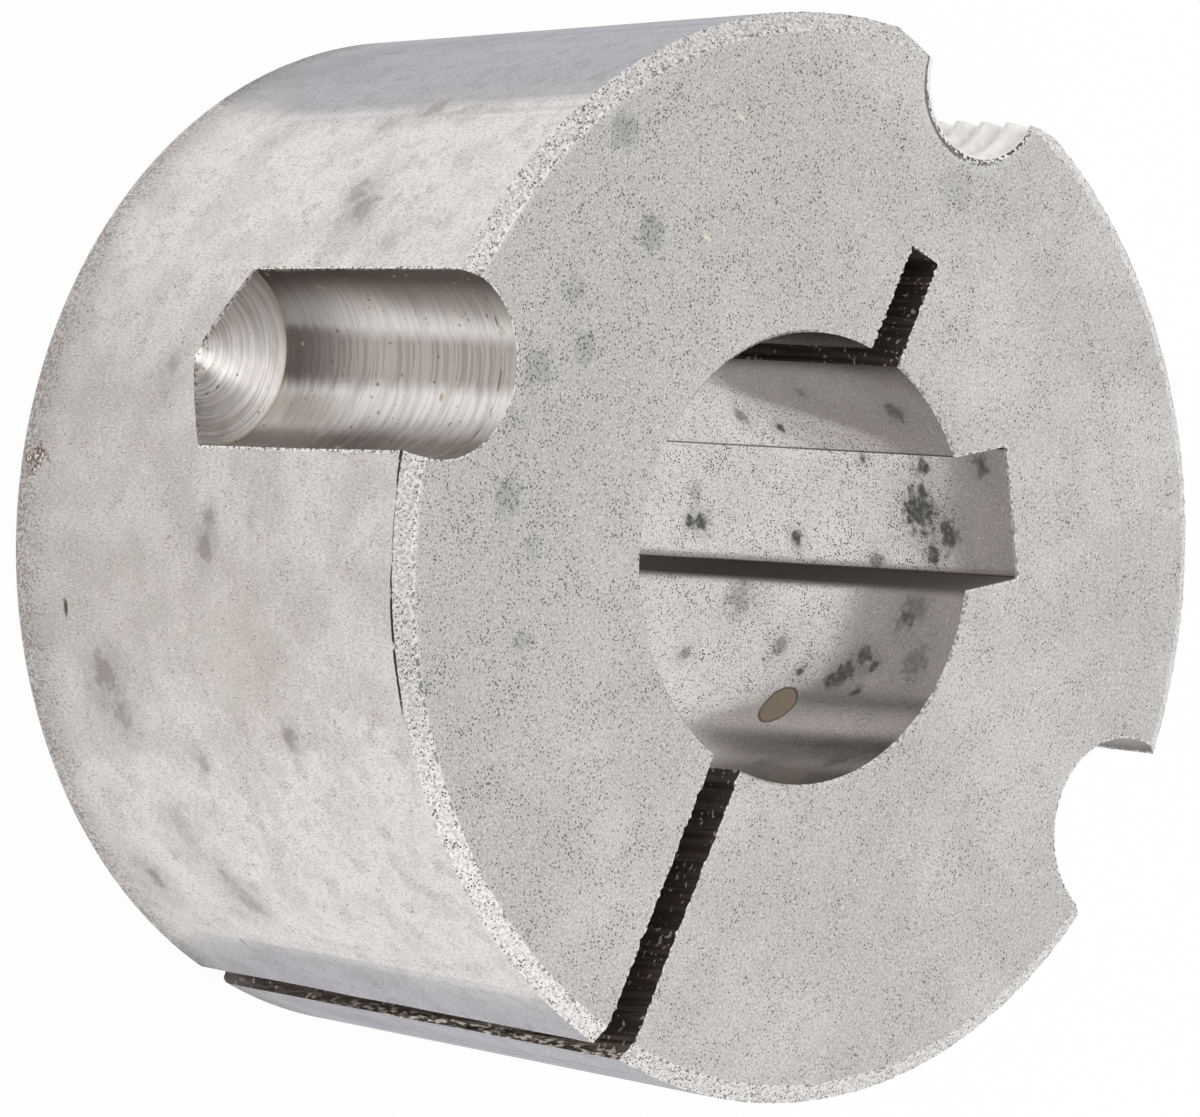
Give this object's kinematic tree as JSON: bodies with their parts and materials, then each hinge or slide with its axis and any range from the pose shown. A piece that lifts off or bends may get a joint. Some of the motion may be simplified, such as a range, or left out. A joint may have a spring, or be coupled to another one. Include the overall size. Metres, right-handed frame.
{
  "type": "taper bush",
  "caption": "Split cast iron taper bush with a keyed bore, a relief slot opposite the split and half-round screw holes at its large end, for clamping a hub to a shaft.",
  "frame": {"origin": "on the bore's axis, in the plane of the small end's face", "axes": "+Z along the bore to the large end; +X through the jacking hole and the relief slot, so the split is on the -X side; the screw holes are near +Y and -Y"},
  "size_m": [0.0382, 0.0382, 0.0222],
  "materials": {
    "iron": "bare grey iron: turned outside and bore, finely blasted large face, bright drilled holes, dark sawn slots"
  },
  "bodies": {
    "root": {"bush": "iron"}
  },
  "joints": []
}
